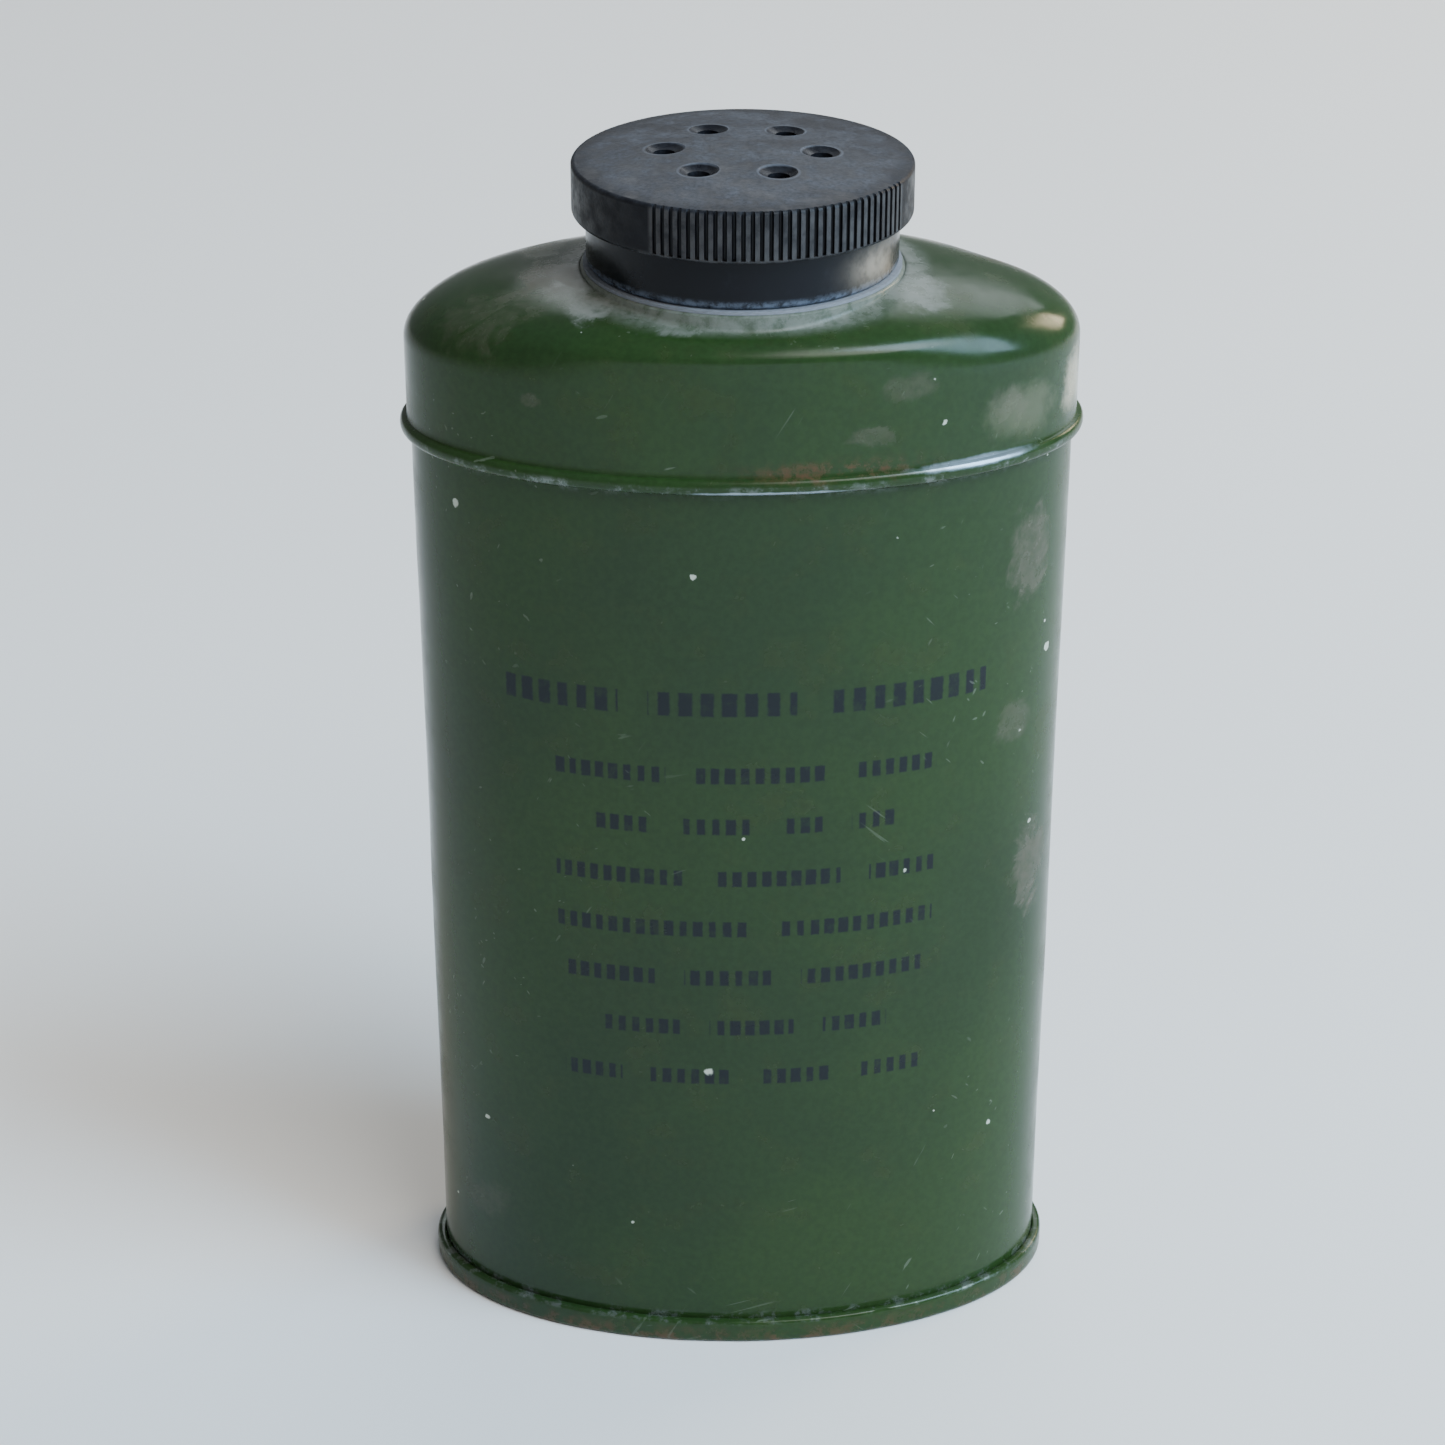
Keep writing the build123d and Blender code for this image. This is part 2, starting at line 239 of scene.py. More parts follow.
def make_base():
    """Double-seamed base: the rounded bead round the foot and the recessed panel under it."""
    columns = ellipse_angles()
    bead = [
        (CHUCK + PLATE, PANEL_HEIGHT + PLATE), (CHUCK + PLATE, 0.95), (0.03, 0.95),
        (0.03, seam_top - 0.16), (0.08, seam_top - 0.05), (0.2, seam_top),
        (seam_out - 0.36, seam_top), (seam_out - 0.2, seam_top - 0.05),
        (seam_out - 0.08, seam_top - 0.18), (seam_out - 0.01, seam_top - 0.42),
        (seam_out, seam_top - 0.8), (seam_out - 0.015, 1.2), (seam_out, 0.75),
        (seam_out - 0.02, 0.4), (seam_out - 0.1, 0.16), (seam_out - 0.26, 0.03),
        (seam_out - 0.42, 0), (CHUCK + 0.3, 0), (CHUCK + 0.12, 0.05), (CHUCK + 0.02, 0.2),
        (CHUCK, 0.5), (CHUCK, PANEL_HEIGHT - 0.3), (CHUCK - 0.08, PANEL_HEIGHT - 0.08),
        (CHUCK - 0.3, PANEL_HEIGHT),
    ]
    rings = list(reversed(panel_rings(columns, PANEL_HEIGHT + PLATE)))
    upper_rings = len(rings) + 1
    for offset, z in bead:
        ring = []
        for t in columns:
            place = wall_point(t, offset)
            knock = 0.0
            if offset > 0.5 and z < 2.4:
                knock = 0.05 * max(0, noise.noise(Vector((place.x / 4, place.y / 4, 3))))
            ring.append((*wall_point(t, offset - knock), z))
        rings.append(ring)
    rings += panel_rings(columns, PANEL_HEIGHT)
    piece = loft("tin_base", rings, "tin", range(upper_rings), capped=True)
    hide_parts("base_end")
    return piece


# ---------------------------------------------------------------- shoulder cover

SKIRT_GAP = 0.06           # between the body and the skirt
SKIRT_OUT = SKIRT_GAP + PLATE
SKIRT_HEIGHT = 9.0         # from the curl's lower edge to where the ends turn in
SIDE_TURN = 3.2            # front and back turn in this much higher than the ends
CROWN_RISE = 6.9
END_POWER = 3.6
SIDE_POWER = 2.7
NECK_HOLE = 12.5
NECK_FOOT = 0.55           # reach of the small fillet round the neck
NECK_FOOT_STEPS = 5
CURL_HALF = 0.7            # half the height of the curled rim
CURL_ANGLES = (75, 58, 40, 22, 4, -15, -34, -53, -72, -90, -108, -128, -150, -170)
BOX_MARGIN = 0.006         # keeps the curl inside the CAD mesh, whose facets cut the curve
turn_height = cover_bottom + SKIRT_HEIGHT

# Dents: place, spread, depth.
COVER_DENTS = (
    ((24, 9, 106), (5, 5, 4), 0.32),
    ((-12, -17, 103), (5, 6, 3), 0.14),
    ((17, -15, 99), (4, 6, 4), 0.08),
)


def shoulder_at(t, rise, offset):
    """Point of the shoulder's level curve at one rise above where the ends turn in."""
    ends = min(1, rise / CROWN_RISE)
    sides = ramp(rise, SIDE_TURN, CROWN_RISE)
    wide = (half_width + offset) * (1 - ends ** 2) ** (1 / END_POWER)
    deep = (half_depth + offset) * (1 - sides ** 2) ** (1 / SIDE_POWER)
    return Vector((wide * math.cos(t), deep * math.sin(t)))


def rise_at_radius(t, radius, offset):
    """Rise at which the shoulder, followed up at parameter t, meets a circle."""
    low, high = 0.0, CROWN_RISE * 0.9999
    for _ in range(40):
        middle = (low + high) / 2
        if shoulder_at(t, middle, offset).length > radius:
            low = middle
        else:
            high = middle
    return low


def neck_to_skirt(t, offset, drop, radius, top, steps):
    """Points down one line of the cover, from its neck over the shoulder to the skirt."""
    turn = turn_height - drop
    foot = rise_at_radius(t, radius + NECK_FOOT, offset)
    meet = rise_at_radius(t, radius, offset)
    way = shoulder_at(t, foot, offset).normalized()
    lift = min(NECK_FOOT, 0.7 * (top - turn - meet))
    path = []
    for k in range(NECK_FOOT_STEPS + 1):
        u = k / NECK_FOOT_STEPS
        reach = radius + NECK_FOOT * (1 - u) ** 2
        rise = foot * (1 - u) ** 2 + 2 * meet * u * (1 - u) + (meet + lift) * u ** 2
        path.append((way.x * reach, way.y * reach, turn + rise))
    path.reverse()
    for k in range(1, steps + 1):
        rise = foot * math.cos(k / steps * math.pi / 2) ** 1.1
        path.append((*shoulder_at(t, rise, offset), turn + rise))
    return path


def cover_rings(columns, offset, drop, radius, top, steps):
    """Rings from the neck's top edge down the shoulder to the start of the skirt."""
    paths = [neck_to_skirt(t, offset, drop, radius, top, steps) for t in columns]
    return [list(ring) for ring in zip(*paths)]


def dented(point):
    """Point of the cover moved in where its thin tinplate gives; neck and curl stay round."""
    x, y, z = point
    free = ramp(z, cover_bottom + 1.6, cover_bottom + 3.6)
    if z > turn_height - 1:
        free *= ramp(math.hypot(x, y), neck_radius + 0.3, neck_radius + 2.3)
    if z < turn_height:
        free *= 0.18
    give = 0.03 + 0.06 * noise.noise(Vector((x / 11, y / 11, z / 9 + 5)))
    for place, spread, depth in COVER_DENTS:
        for value, centre, reach in zip(point, place, spread):
            depth *= swell(value, centre, reach)
        give += depth
    give *= free
    out = Vector((x / half_width ** 2, y / half_depth ** 2)).normalized()
    top = ramp(z, turn_height, turn_height + 5)
    level_give = give * (1 - 0.5 * top)
    return x - out.x * level_give, y - out.y * level_give, z - give * top


def make_cover():
    """Pressed slip-on cover: raised neck, domed shoulder, skirt and curled rim."""
    columns = ellipse_angles()
    outside = cover_rings(columns, SKIRT_OUT, 0, neck_radius, cover_top - 0.4, 26)
    inside = cover_rings(
        columns, SKIRT_GAP, PLATE, neck_radius - PLATE, cover_top - PLATE - 0.1, 12
    )
    rings = [
        round_ring(NECK_HOLE, cover_top - PLATE, inside[0]),
        round_ring(NECK_HOLE, cover_top - 0.05, outside[0]),
        round_ring(NECK_HOLE + 0.05, cover_top, outside[0]),
        round_ring(neck_radius - 0.4, cover_top, outside[0]),
        round_ring(neck_radius - 0.2, cover_top - 0.05, outside[0]),
        round_ring(neck_radius - 0.06, cover_top - 0.18, outside[0]),
    ]
    rings += outside
    curl_middle = cover_bottom + CURL_HALF
    for z in (turn_height - 2, turn_height - 4, curl_middle + 1.35):
        rings.append(wall_ring(columns, SKIRT_OUT, z))
    rings.append(wall_ring(columns, SKIRT_OUT + 0.02, curl_middle + 0.95))
    rings.append(wall_ring(columns, SKIRT_OUT + 0.08, curl_middle + 0.75))
    curl_out = curl_reach - half_width - BOX_MARGIN
    centre = (curl_out + SKIRT_GAP) / 2 + 0.05
    for degrees in CURL_ANGLES:
        a = math.radians(degrees)
        offset = centre + (curl_out - centre) * math.cos(a)
        rings.append(wall_ring(columns, offset, curl_middle + CURL_HALF * math.sin(a)))
    inner_start = len(rings)
    for z in (curl_middle + 0.4, turn_height - 4, turn_height - 2):
        rings.append(wall_ring(columns, SKIRT_GAP, z))
    rings += reversed(inside)
    rings.append(round_ring(neck_radius - PLATE - 0.05, cover_top - PLATE, inside[0]))
    rings = [[dented(point) for point in ring] for ring in rings]
    piece = loft("shoulder_cover_shell", rings, "cover", range(inner_start, len(rings)))
    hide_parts("shoulder_cover")
    return piece


# ---------------------------------------------------------------- node helpers

class Nodes:
    """Short calls for building one material's node tree, with places in millimetres."""

    def __init__(self, name):
        self.material = bpy.data.materials.new(name)
        self.material.use_nodes = True
        self.tree = self.material.node_tree
        self.tree.nodes.clear()
        output = self.tree.nodes.new("ShaderNodeOutputMaterial")
        self.shader = self.tree.nodes.new("ShaderNodeBsdfPrincipled")
        self.tree.links.new(self.shader.outputs[0], output.inputs[0])
        place = self.tree.nodes.new("ShaderNodeTexCoord").outputs["Object"]
        self.place = self.vector("SCALE", place, scale=1 / MM)
        split = self.tree.nodes.new("ShaderNodeSeparateXYZ")
        self.put(split.inputs[0], self.place)
        self.axes = tuple(split.outputs)
        self.x, self.y, self.z = self.axes

    def put(self, socket, value):
        """Links an output to an input, or sets the input's own value."""
        if isinstance(value, bpy.types.NodeSocket):
            self.tree.links.new(value, socket)
        elif isinstance(value, tuple) and len(value) == 3 and socket.type == "RGBA":
            socket.default_value = (*value, 1)
        else:
            socket.default_value = value

    def math(self, operation, a, b=0.0, clamp=False):
        node = self.tree.nodes.new("ShaderNodeMath")
        node.operation = operation
        node.use_clamp = clamp
        self.put(node.inputs[0], a)
        self.put(node.inputs[1], b)
        return node.outputs[0]

    def add(self, a, b):
        return self.math("ADD", a, b)

    def minus(self, a, b):
        return self.math("SUBTRACT", a, b)

    def times(self, a, b):
        return self.math("MULTIPLY", a, b)

    def most(self, a, b):
        return self.math("MAXIMUM", a, b)

    def vector(self, operation, a, b=(0, 0, 0), scale=1.0):
        node = self.tree.nodes.new("ShaderNodeVectorMath")
        node.operation = operation
        self.put(node.inputs[0], a)
        self.put(node.inputs[1], b)
        if operation == "SCALE":
            self.put(node.inputs["Scale"], scale)
        return node.outputs["Value" if operation == "DISTANCE" else "Vector"]

    def stretched(self, scale, turn=(0, 0, 0), move=(0, 0, 0)):
        """Place moved, turned in degrees, then scaled along its axes."""
        node = self.tree.nodes.new("ShaderNodeMapping")
        node.vector_type = "TEXTURE"
        self.put(node.inputs["Vector"], self.place)
        node.inputs["Location"].default_value = move
        node.inputs["Rotation"].default_value = [math.radians(a) for a in turn]
        node.inputs["Scale"].default_value = [1 / s for s in scale]
        return node.outputs[0]

    def noise(self, scale, detail=3.0, rough=0.5, where=None, distortion=0.0):
        node = self.tree.nodes.new("ShaderNodeTexNoise")
        self.put(node.inputs["Vector"], self.place if where is None else where)
        node.inputs["Scale"].default_value = scale
        node.inputs["Detail"].default_value = detail
        node.inputs["Roughness"].default_value = rough
        node.inputs["Distortion"].default_value = distortion
        return node.outputs[0]

    def cells(self, scale):
        """Distance from the middle of the nearest cell, and a random number for each cell."""
        node = self.tree.nodes.new("ShaderNodeTexVoronoi")
        self.put(node.inputs["Vector"], self.place)
        node.inputs["Scale"].default_value = scale
        split = self.tree.nodes.new("ShaderNodeSeparateColor")
        self.put(split.inputs[0], node.outputs["Color"])
        return node.outputs["Distance"], split.outputs[0]

    def chance(self, seed):
        """Random number that depends on one value."""
        node = self.tree.nodes.new("ShaderNodeTexWhiteNoise")
        node.noise_dimensions = "1D"
        self.put(node.inputs["W"], seed)
        return node.outputs[0]

    def step(self, value, low, high, out_low=0.0, out_high=1.0):
        """Smooth rise of a value between two limits."""
        node = self.tree.nodes.new("ShaderNodeMapRange")
        node.interpolation_type = "SMOOTHSTEP"
        self.put(node.inputs["Value"], value)
        node.inputs["From Min"].default_value = low
        node.inputs["From Max"].default_value = high
        node.inputs["To Min"].default_value = out_low
        node.inputs["To Max"].default_value = out_high
        return node.outputs[0]

    def level(self, value, low, high, soft):
        """1 between two limits, fading over a soft margin."""
        rise = self.step(value, low - soft, low + soft)
        return self.times(rise, self.step(value, high + soft, high - soft))

    def near(self, place, spread):
        """Soft round spot near a place."""
        total = 0.0
        for axis, centre, reach in zip(self.axes, place, spread):
            offset = self.math("DIVIDE", self.minus(axis, centre), reach)
            total = self.add(total, self.times(offset, offset))
        return self.math("EXPONENT", self.times(total, -1.0))

    def reach(self):
        """Distance from the vertical axis."""
        return self.math("SQRT", self.add(self.times(self.x, self.x), self.times(self.y, self.y)))

    def mix(self, share, a, b):
        node = self.tree.nodes.new("ShaderNodeMix")
        node.data_type = "RGBA"
        self.put(node.inputs["Factor"], share)
        self.put(node.inputs[6], a)
        self.put(node.inputs[7], b)
        return node.outputs[2]

    def bump(self, height, strength, distance):
        """Bump from a height, over a distance in millimetres."""
        node = self.tree.nodes.new("ShaderNodeBump")
        self.put(node.inputs["Height"], height)
        node.inputs["Strength"].default_value = strength
        node.inputs["Distance"].default_value = distance * MM
        return node.outputs[0]

    def set(self, **values):
        """Sets the shader's sockets, with spaces for underscores in their names."""
        for key, value in values.items():
            self.put(self.shader.inputs[key.replace("_", " ")], value)


# ---------------------------------------------------------------- enamel

GREEN = (0.018, 0.042, 0.0105)
GREEN_DARK = (0.0145, 0.033, 0.0105)
GREEN_OLIVE = (0.036, 0.042, 0.010)
BROWN = (0.11, 0.095, 0.072)
RUST = (0.14, 0.050, 0.030)
BARE = (0.24, 0.26, 0.25)
# tints of bare metal laid as a painted warm reflection and painted cool highlights on the cover
WARM_TIN_REFLECTION = (0.62, 0.56, 0.42)
COOL_TIN_HIGHLIGHT = (0.42, 0.50, 0.58)
CHIP = (0.52, 0.56, 0.46)
HAZE = (0.30, 0.30, 0.28)
INK = (0.005, 0.007, 0.011)

# Rows of printed blocks: height of the middle, height of a block, length, groups in the row.
PRINT_ROWS = (
    (71.8, 2.4, 46.0, 3), (64.4, 1.65, 35.0, 3), (59.0, 1.65, 27.0, 4), (53.4, 1.65, 35.0, 3),
    (47.9, 1.65, 35.0, 2), (42.5, 1.65, 34.0, 3), (36.9, 1.65, 26.0, 3), (31.3, 1.65, 34.0, 4),
)
PRINT_GAP = 2.6            # between the groups of a row
PRINT_PITCH = 0.78         # from block to block, as a share of a block's height

# Random chips: cells to a millimetre, and the share of cells that hold none.
CHIP_SIZES = ((0.085, 0.62), (0.21, 0.80))
CHIP_RADIUS = 0.030        # as a share of a cell

# Hairline scratches: their turn and a shift of the pattern.
HAIRLINES = (((0, 31, 0), 3), ((0, -47, 8), 17), ((0, 74, 0), 41))


class Enamel(Nodes):
    """Old gloss enamel on tinplate, built up layer by layer."""

    def __init__(self, name):
        super().__init__(name)
        self.cloud = self.noise(0.035, 2, 0.5)
        mottle = self.noise(0.22, 4, 0.6)
        grain = self.noise(1.6, 3, 0.6)
        colour = self.mix(self.step(self.cloud, 0.35, 0.65), GREEN_DARK, GREEN)
        olive = self.times(self.step(mottle, 0.5, 0.75), 0.25)
        colour = self.mix(olive, colour, GREEN_OLIVE)
        shade = self.step(grain, 0.3, 0.7, 0.9, 1.1)
        self.colour = self.vector("SCALE", colour, scale=shade)
        self.rough = self.step(mottle, 0.3, 0.75, 0.14, 0.30)
        self.metal = 0.0

    def layer(self, share, tint, colour_share, rougher):
        """Lays a tint over the colour and makes the surface rougher there."""
        self.colour = self.mix(self.times(share, colour_share), self.colour, tint)
        self.rough = self.add(self.rough, self.times(share, rougher))

    def printed_blocks(self, seed):
        """Generic print: rows of plain upright blocks on the front, with no lettering."""
        rng = random.Random(seed)
        around = self.math("ARCSINE", self.math("DIVIDE", self.x, half_width + 0.5))
        along = self.times(around, half_width * 0.93)
        ragged = self.times(self.minus(self.noise(2.2, 2, 0.6), 0.5), 0.22)
        total = 0.0
        for height, tall, wide, groups in PRINT_ROWS:
            shares = [rng.uniform(0.7, 1.5) for _ in range(groups)]
            unit = (wide - (groups - 1) * PRINT_GAP) / sum(shares)
            left = -wide / 2
            row = 0.0
            for share in shares:
                length = share * unit
                away = self.math("ABSOLUTE", self.minus(along, left + length / 2))
                row = self.most(row, self.step(self.minus(length / 2, away), -0.05, 0.1))
                left += length + PRINT_GAP
            shift = rng.uniform(40, 90)
            place = self.add(self.math("DIVIDE", along, tall * PRINT_PITCH), shift)
            chance = self.chance(self.add(self.math("FLOOR", place), height))
            half = self.add(self.times(chance, 0.14), 0.23)
            across = self.math("ABSOLUTE", self.minus(self.math("FRACT", place), 0.5))
            edge = self.add(self.minus(half, across), self.times(ragged, 0.5))
            block = self.step(edge, -0.07, 0.07)
            above = self.math("ABSOLUTE", self.minus(self.add(self.z, ragged), height))
            block = self.times(block, self.step(above, tall / 2 + 0.1, tall / 2 - 0.1))
            total = self.most(total, self.times(row, block))
        front = self.math("LESS_THAN", self.y, 0.0)
        faded = self.step(self.noise(0.55, 5, 0.7), 0.30, 0.5, 0.65, 1.0)
        mark = self.times(self.times(total, front), faded)
        self.colour = self.mix(self.times(mark, 0.94), self.colour, INK)

    def thin_and_reflection_patches(self, patches):
        """Rubbed brown patches where the enamel has gone thin, also used for a painted reflection:
        place, spread, amount.
        """
        for place, spread, amount in patches:
            ragged = self.noise(0.30, 5, 0.62, self.stretched((1, 1, 0.6), (0, 35, 0)), 1.2)
            spot = self.add(self.near(place, spread), self.times(ragged, 1.5))
            torn = self.times(
                self.step(spot, 1.2, 1.6), self.step(self.noise(1.1, 4, 0.7), 0.25, 0.65, 0.35, 1.0)
            )
            self.layer(self.times(torn, amount), BROWN, 1.0, 0.22)

    def wear_and_reflection_metal(self, where):
        """Enamel worn to bare metal along edges, and bare metal laid as a painted reflection where
        the mask holds one.
        """
        worn = self.times(where, self.step(self.noise(0.45, 5, 0.75), 0.48, 0.66))
        self.layer(worn, BARE, 0.55, 0.1)
        self.metal = self.times(worn, 0.7)

    def painted_reflections(self, painted_reflections):
        """Painted reflections and highlights, laid as spots of bright bare metal: place, spread,
        amount, colour.
        """
        for place, spread, amount, tint in painted_reflections:
            torn = self.times(self.noise(0.5, 6, 0.7), 0.8)
            spot = self.add(self.near(place, spread), torn)
            spot = self.step(spot, 0.75, 1.3, 0.0, amount)
            self.colour = self.mix(spot, self.colour, tint)
            self.metal = self.most(self.metal, spot)

    def rust(self, where):
        """Rust stain."""
        stain = self.times(where, self.step(self.noise(0.5, 5, 0.75), 0.42, 0.66))
        self.layer(stain, RUST, 0.7, 0.3)

    def chips_and_hairlines(self, nicks=()):
        """Chips to primer, at random and at nicks given as place and size; fine scratches."""
        chips = 0.0
        for scale, rare in CHIP_SIZES:
            distance, chance = self.cells(scale)
            distance = self.add(distance, self.times(self.noise(1.7, 2, 0.5), 0.05))
            spot = self.step(distance, CHIP_RADIUS + 0.035, CHIP_RADIUS + 0.018)
            spot = self.times(spot, self.step(chance, rare, rare + 0.01))
            chips = self.most(chips, spot)
        for place, size in nicks:
            away = self.vector("DISTANCE", self.place, place)
            away = self.add(away, self.times(self.noise(2.1, 2, 0.5), 0.5))
            chips = self.most(chips, self.step(away, size + 0.33, size + 0.2))
        self.layer(chips, CHIP, 0.85, 0.15)
        lines = 0.0
        for turn, shift in HAIRLINES:
            where = self.stretched((1.7, 1.7, 0.035), turn, (shift, shift, shift))
            lines = self.most(lines, self.step(self.noise(1.0, 1.5, 0.5, where), 0.735, 0.78))
        lines = self.times(lines, self.step(self.cloud, 0.45, 0.6))
        self.layer(lines, CHIP, 0.10, 0.12)
        height = self.times(self.noise(0.9, 3, 0.55), 0.5)
        height = self.minus(height, self.times(lines, 0.25))
        self.height = self.minus(height, self.times(chips, 0.8))

    def film_and_highlight(self, where):
        """Pale film of old powder, and a painted highlight where the mask holds one."""
        film = self.times(where, self.step(self.noise(0.7, 5, 0.7), 0.3, 0.62, 0.4, 1.0))
        self.layer(film, HAZE, 1.0, 0.35)

    def finish(self):
        self.set(
            Base_Color=self.colour, Roughness=self.rough, Metallic=self.metal,
            Normal=self.bump(self.height, 0.25, 0.05), Specular_IOR_Level=0.24,
        )
        return self.material


def body_material():
    """Body: printed blocks, thin patches, wear at the foot and where the cover's rim sits."""
    n = Enamel("old_green_enamel_body")
    n.printed_blocks(11)
    n.thin_and_reflection_patches((
        ((26.5, -8.8, 83), (3.0, 5, 6), 0.55),
        ((28.0, -7.3, 49), (2.6, 5, 7), 0.6),
        ((25.5, -10.0, 66), (2.0, 5, 3), 0.35),
        ((-26, -9, 12), (4, 5, 3), 0.2),
        ((-20, 12, 70), (8, 6, 11), 0.4),
        ((12, 16, 30), (7, 6, 9), 0.35),
    ))
    under_cover = n.level(n.z, cover_bottom - 0.5, cover_bottom + 0.3, 0.4)
    n.wear_and_reflection_metal(n.most(n.times(under_cover, 0.5), n.step(n.z, 3.4, 2.5)))
    n.chips_and_hairlines((
        ((28.8, -6.1, 72.3), 0.42), ((-4.9, -16.8, 84.7), 0.26), ((13.6, -15.3, 87.8), 0.12),
        ((-25.7, -9.4, 22.1), 0.26), ((-17.1, -14.2, 19.1), 0.2), ((-11.2, -15.9, 13.6), 0.2),
        ((24.7, -10.2, 21.2), 0.26), ((27.8, -7.4, 54.2), 0.2), ((15.2, -14.8, 53.0), 0.16),
        ((26.3, -8.9, 64.8), 0.12), ((7.5, 16.5, 44.0), 0.3), ((-22.0, 12.0, 25.0), 0.25),
    ))
    return n.finish()


def base_material():
    """Base: wear along the bead's crest and foot, and rust below."""
    n = Enamel("old_green_enamel_base")
    crest = n.times(n.level(n.z, 2.2, 2.7, 0.15), 0.8)
    n.wear_and_reflection_metal(n.most(crest, n.times(n.step(n.z, 0.5, 0.1), 0.5)))
    n.rust(n.times(n.step(n.z, 2.5, 0.3), 0.7))
    n.chips_and_hairlines()
    return n.finish()


def powder_and_highlight(n):
    """Where old powder clings to the cover, round its neck and in spots on its shoulder, plus a
    painted highlight line at the foot of the neck.
    """
    from_axis = n.reach()
    near_neck = n.times(
        n.step(from_axis, neck_radius + 3.0, neck_radius + 0.3),
        n.step(n.z, cover_top - 1.9, cover_top - 1.0, 0.0, 0.45),
    )
    total = near_neck
    torn = n.times(n.noise(0.45, 5, 0.65, distortion=0.6), 0.9)
    for place, spread, amount in (
        ((-13.4, -9.2, 107.4), (3.4, 3.4, 2), 0.6), ((15.8, -6.5, 107.8), (3.2, 5, 3), 0.45),
        ((-5, -14.4, 107.9), (7, 1.4, 1.2), 0.4), ((23, 9, 107), (6, 5, 4), 0.35),
        ((-18.5, 6, 107.5), (3, 5, 3), 0.25),
    ):
        spot = n.add(n.near(place, spread), torn)
        total = n.most(total, n.step(spot, 0.85, 1.25, 0.0, amount))
    # painted highlight: a thin pale line round the foot of the neck, where the fillet catches the
    # light
    line = n.level(n.z, cover_top - 1.45, cover_top - 1.0, 0.2)
    line = n.times(line, n.step(from_axis, neck_radius + 0.9, neck_radius + 0.4))
    return n.most(total, n.times(line, 0.45))


def cover_material():
    """Cover: worn curl, rust above it at the front, painted reflections and highlights (bright bare
    metal, one brown patch), powder and a painted highlight line round the neck.
    """
    n = Enamel("old_green_enamel_cover")
    n.thin_and_reflection_patches((
        ((14.8, -15.3, 102.4), (3.5, 5, 1.6), 0.3),
        ((23.8, -11.3, 98.9), (3.2, 5, 2.8), 0.28),
        ((11.0, -16.2, 98.0), (3.0, 5, 1.2), 0.35),
        ((-19.2, -13.7, 100.7), (1.2, 3, 0.9), 0.35),
        ((18, 15, 100), (8, 6, 3), 0.45),
        ((24, 7, 106.5), (6, 6, 4), 0.45),
        # painted orange-brown reflection left of the neck, laid as a thin patch
        ((-17, -2, 107.5), (4, 6, 3), 0.5),
        ((-22, -7, 105.5), (7, 6, 4), 0.26),
    ))
    curl_middle = cover_bottom + CURL_HALF
    crest = n.level(n.z, cover_bottom - 0.2, curl_middle + 0.1, 0.3)
    # the spot at the skirt's right end is a painted reflection, laid as bare metal along with the
    # curl's real wear
    n.wear_and_reflection_metal(n.most(crest, n.times(n.near((31.5, -3, 99.5), (2.2, 6, 5)), 0.9)))
    # painted reflections, laid as bright bare metal: a warm one at the skirt's right end, cool
    # highlights along the curl
    n.painted_reflections((
        ((31.0, -5.0, 98.6), (2.4, 4.2, 4.0), 0.7, WARM_TIN_REFLECTION),
        ((26.0, -11.0, 98.0), (6, 5, 3.2), 0.10, WARM_TIN_REFLECTION),
        ((22, -14, 94.3), (9, 6, 0.5), 0.6, COOL_TIN_HIGHLIGHT),
        ((2, -18, 93.2), (9, 5, 0.25), 0.7, COOL_TIN_HIGHLIGHT),
    ))
    n.rust(n.math("MULTIPLY", n.near((8, -17, curl_middle + 1.2), (6, 6, 0.8)), 1.3, clamp=True))
    n.chips_and_hairlines((
        ((17.7, -14.3, 98.5), 0.2), ((-12.9, -15.8, 106.2), 0.2), ((16.6, -14.7, 102.7), 0.12),
        ((-11.9, -15.9, 106.1), 0.14), ((20.5, -12.9, 105.0), 0.14), ((3, 17.3, 99), 0.25),
    ))
    n.film_and_highlight(powder_and_highlight(n))
    return n.finish()


# ---------------------------------------------------------------- mouldings and metals

HOLE_COUNT = 6
HOLE_RING = 7.1            # circle that the rotor's holes lie on
HOLE_PHASE = -5.2          # degrees from +X to the first hole
DISH = 1.8                 # radius of the dish round each hole
KNURL_CENTRE = -75.0       # degrees from +X to the middle of the front knurled sector
KNURL_HALF = 48.5          # half the width of a knurled sector, in degrees

BLACK_GLOSS = (0.005, 0.005, 0.007)
BLACK_MATT = (0.003, 0.003, 0.005)
BLUE_DUST = (0.10, 0.12, 0.16)
TOP_DUST = (0.080, 0.086, 0.104)
SIDE_DUST = (0.115, 0.110, 0.112)
# tint of the painted warm reflection on the collar
WARM_GLOW_REFLECTION = (0.34, 0.28, 0.22)


